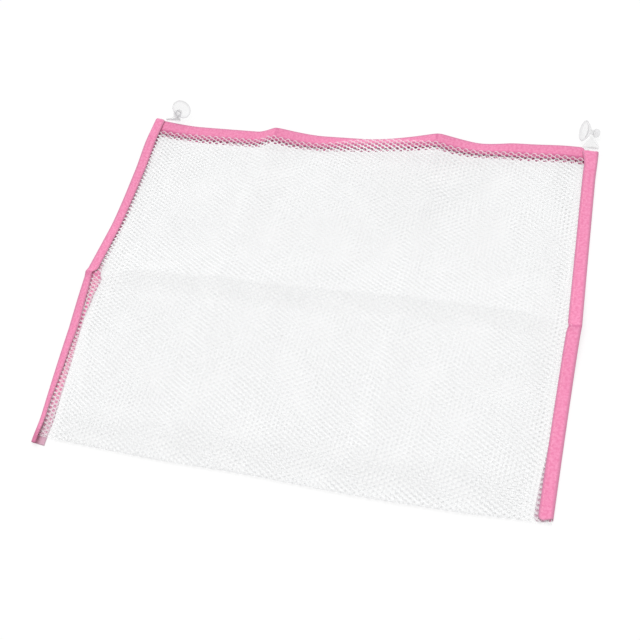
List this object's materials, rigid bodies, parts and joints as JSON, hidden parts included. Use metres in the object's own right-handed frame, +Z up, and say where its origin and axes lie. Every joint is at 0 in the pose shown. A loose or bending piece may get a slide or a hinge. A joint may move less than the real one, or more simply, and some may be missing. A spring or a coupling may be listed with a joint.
{
  "type": "bath toy organizer",
  "caption": "Flat net pouch that hangs bath toys to drain, with folded tape along its sides and back mouth edge and clear suction cups in loops at its mouth corners.",
  "frame": {"origin": "on the surface that the pouch lies on, under the middle of the whole part", "axes": "+X across the pouch from the left tape to the right one, +Y up the pouch towards its mouth, +Z up from the surface, out of the front panel"},
  "size_m": [0.469, 0.4032, 0.0302],
  "materials": {
    "net": "white knitted polyester net, matt",
    "tape": "pink woven tape, matt",
    "clear_pvc": "clear soft PVC, glossy"
  },
  "bodies": {
    "pouch": {"back_net": "net", "front_net": "net", "mouth_band": "tape", "left_side_tape": "tape", "right_side_tape": "tape"},
    "left_loop": {"left_cup_loop": "clear_pvc"},
    "left_cup": {"left_suction_cup": "clear_pvc"},
    "right_loop": {"right_cup_loop": "clear_pvc"},
    "right_cup": {"right_suction_cup": "clear_pvc"}
  },
  "joints": [
    {"name": "left_loop_flex", "type": "hinge", "parent": "pouch", "child": "left_loop", "pos_m": [-0.2055, 0.17502, 0.00695], "axis": [1, 0, 0], "range_deg": [-30, 80]},
    {"name": "left_cup_spin", "type": "hinge", "parent": "left_loop", "child": "left_cup", "pos_m": [-0.2025, 0.18492, 0.0072], "axis": [-0.633, 0.1116, -0.766], "continuous": true},
    {"name": "right_loop_flex", "type": "hinge", "parent": "pouch", "child": "right_loop", "pos_m": [0.2205, 0.17502, 0.00473], "axis": [1, 0, 0], "range_deg": [-30, 80]},
    {"name": "right_cup_spin", "type": "hinge", "parent": "right_loop", "child": "right_cup", "pos_m": [0.2205, 0.19342, 0.00604], "axis": [0.8936, 0.1899, -0.4067], "continuous": true}
  ]
}
